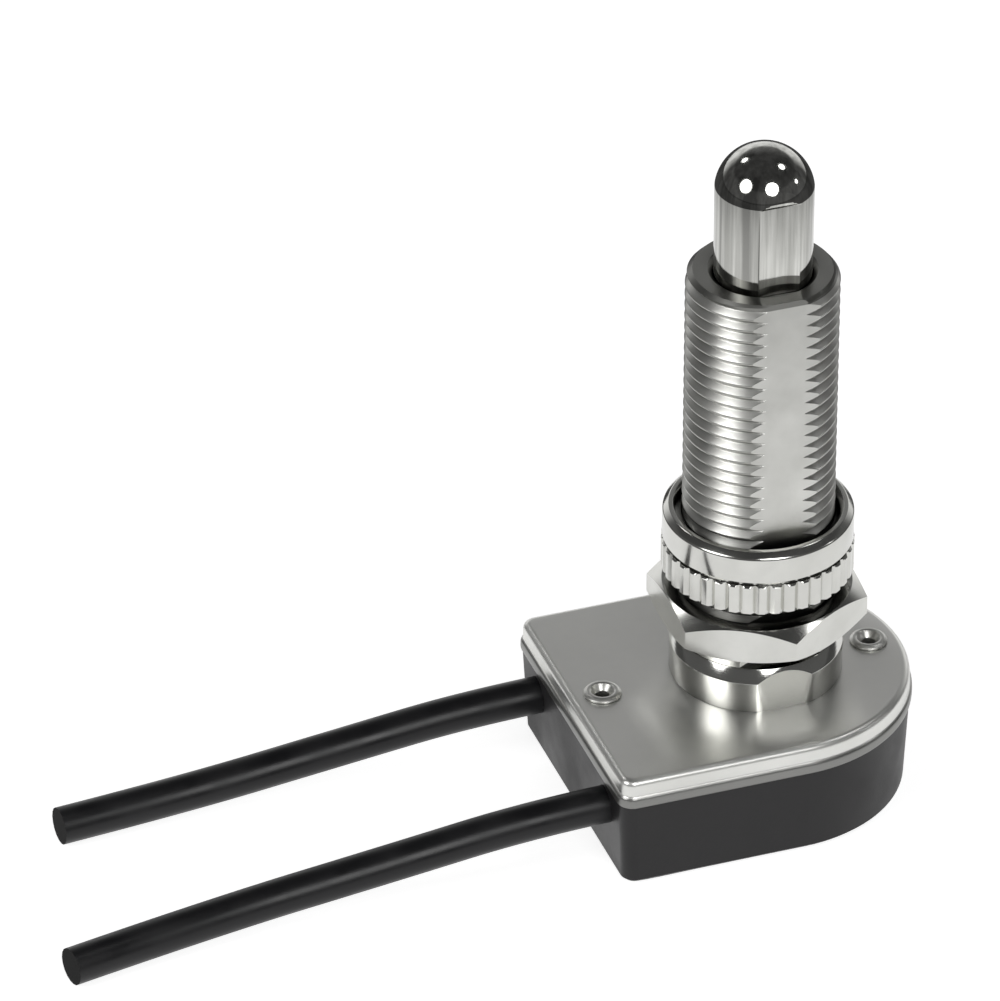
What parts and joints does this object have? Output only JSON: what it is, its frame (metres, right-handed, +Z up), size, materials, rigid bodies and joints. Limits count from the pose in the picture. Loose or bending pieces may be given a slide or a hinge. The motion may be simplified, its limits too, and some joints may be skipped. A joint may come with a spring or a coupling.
{
  "type": "push on push off lamp switch",
  "caption": "Canopy push switch: a domed button in a threaded bushing with a hexagon nut and a round nut, on a plated D-shaped base with leads out of its straight end.",
  "frame": {"origin": "on the bushing's axis, in the underside of the base", "axes": "+Z up along the bushing to the button, +X from the lead end to the round nose, -Y the side of the bushing's flat"},
  "size_m": [0.0575, 0.0198, 0.0457],
  "materials": {
    "phenolic": "moulded, semi-matte black",
    "satin_steel": "satin plated sheet",
    "fibre": "vulcanised fibre",
    "bright_nickel": "bright nickel plate",
    "plated_steel": "zinc plated",
    "spring_steel": "drawn spring steel",
    "moulded_nylon": "natural moulded nylon",
    "brass": "pressed brass",
    "copper": "bare stranded copper",
    "lead_jacket": "extruded black insulation"
  },
  "bodies": {
    "housing": {"base": "phenolic", "cover_plate": "satin_steel", "liner": "fibre", "end_eyelet": "bright_nickel", "nose_eyelet": "bright_nickel", "bushing": "bright_nickel", "spring_seat": "plated_steel", "return_spring": "spring_steel", "pivot_pin": "plated_steel", "pin_clip": "spring_steel", "index_spring": "spring_steel", "front_terminal": "brass", "front_terminal_rivet": "brass", "front_conductor": "copper", "front_lead": "lead_jacket", "rear_terminal": "brass", "rear_terminal_rivet": "brass", "rear_conductor": "copper", "rear_lead": "lead_jacket"},
    "button": {"push_button": "bright_nickel", "driver": "moulded_nylon"},
    "rotor": {"ratchet_rotor": "moulded_nylon", "contact_cross": "brass", "spring_washer": "spring_steel"},
    "locknut_body": {"locknut": "bright_nickel"},
    "ring_nut_body": {"ring_nut": "bright_nickel"}
  },
  "joints": [
    {"name": "button_press", "type": "slide", "parent": "housing", "child": "button", "axis": [0, 0, -1], "range_m": [0, 0.0024], "stiffness_N_per_m": 300, "springref_m": -0.004, "deforming": ["return_spring"]},
    {"name": "rotor_turn", "type": "hinge", "parent": "housing", "child": "rotor", "pos_m": [0, 0, 0], "axis": [0, 0, 1], "range_deg": [0, 45]},
    {"name": "locknut_travel", "type": "slide", "parent": "housing", "child": "locknut_body", "axis": [0, 0, 1], "range_m": [0, 0.006]},
    {"name": "ring_nut_travel", "type": "slide", "parent": "locknut_body", "child": "ring_nut_body", "axis": [0, 0, 1], "range_m": [-0.001, 0.01]}
  ],
  "couplings": [
    {"joint": "rotor_turn", "follows": "button_press", "rad_per_m": 327.2}
  ]
}
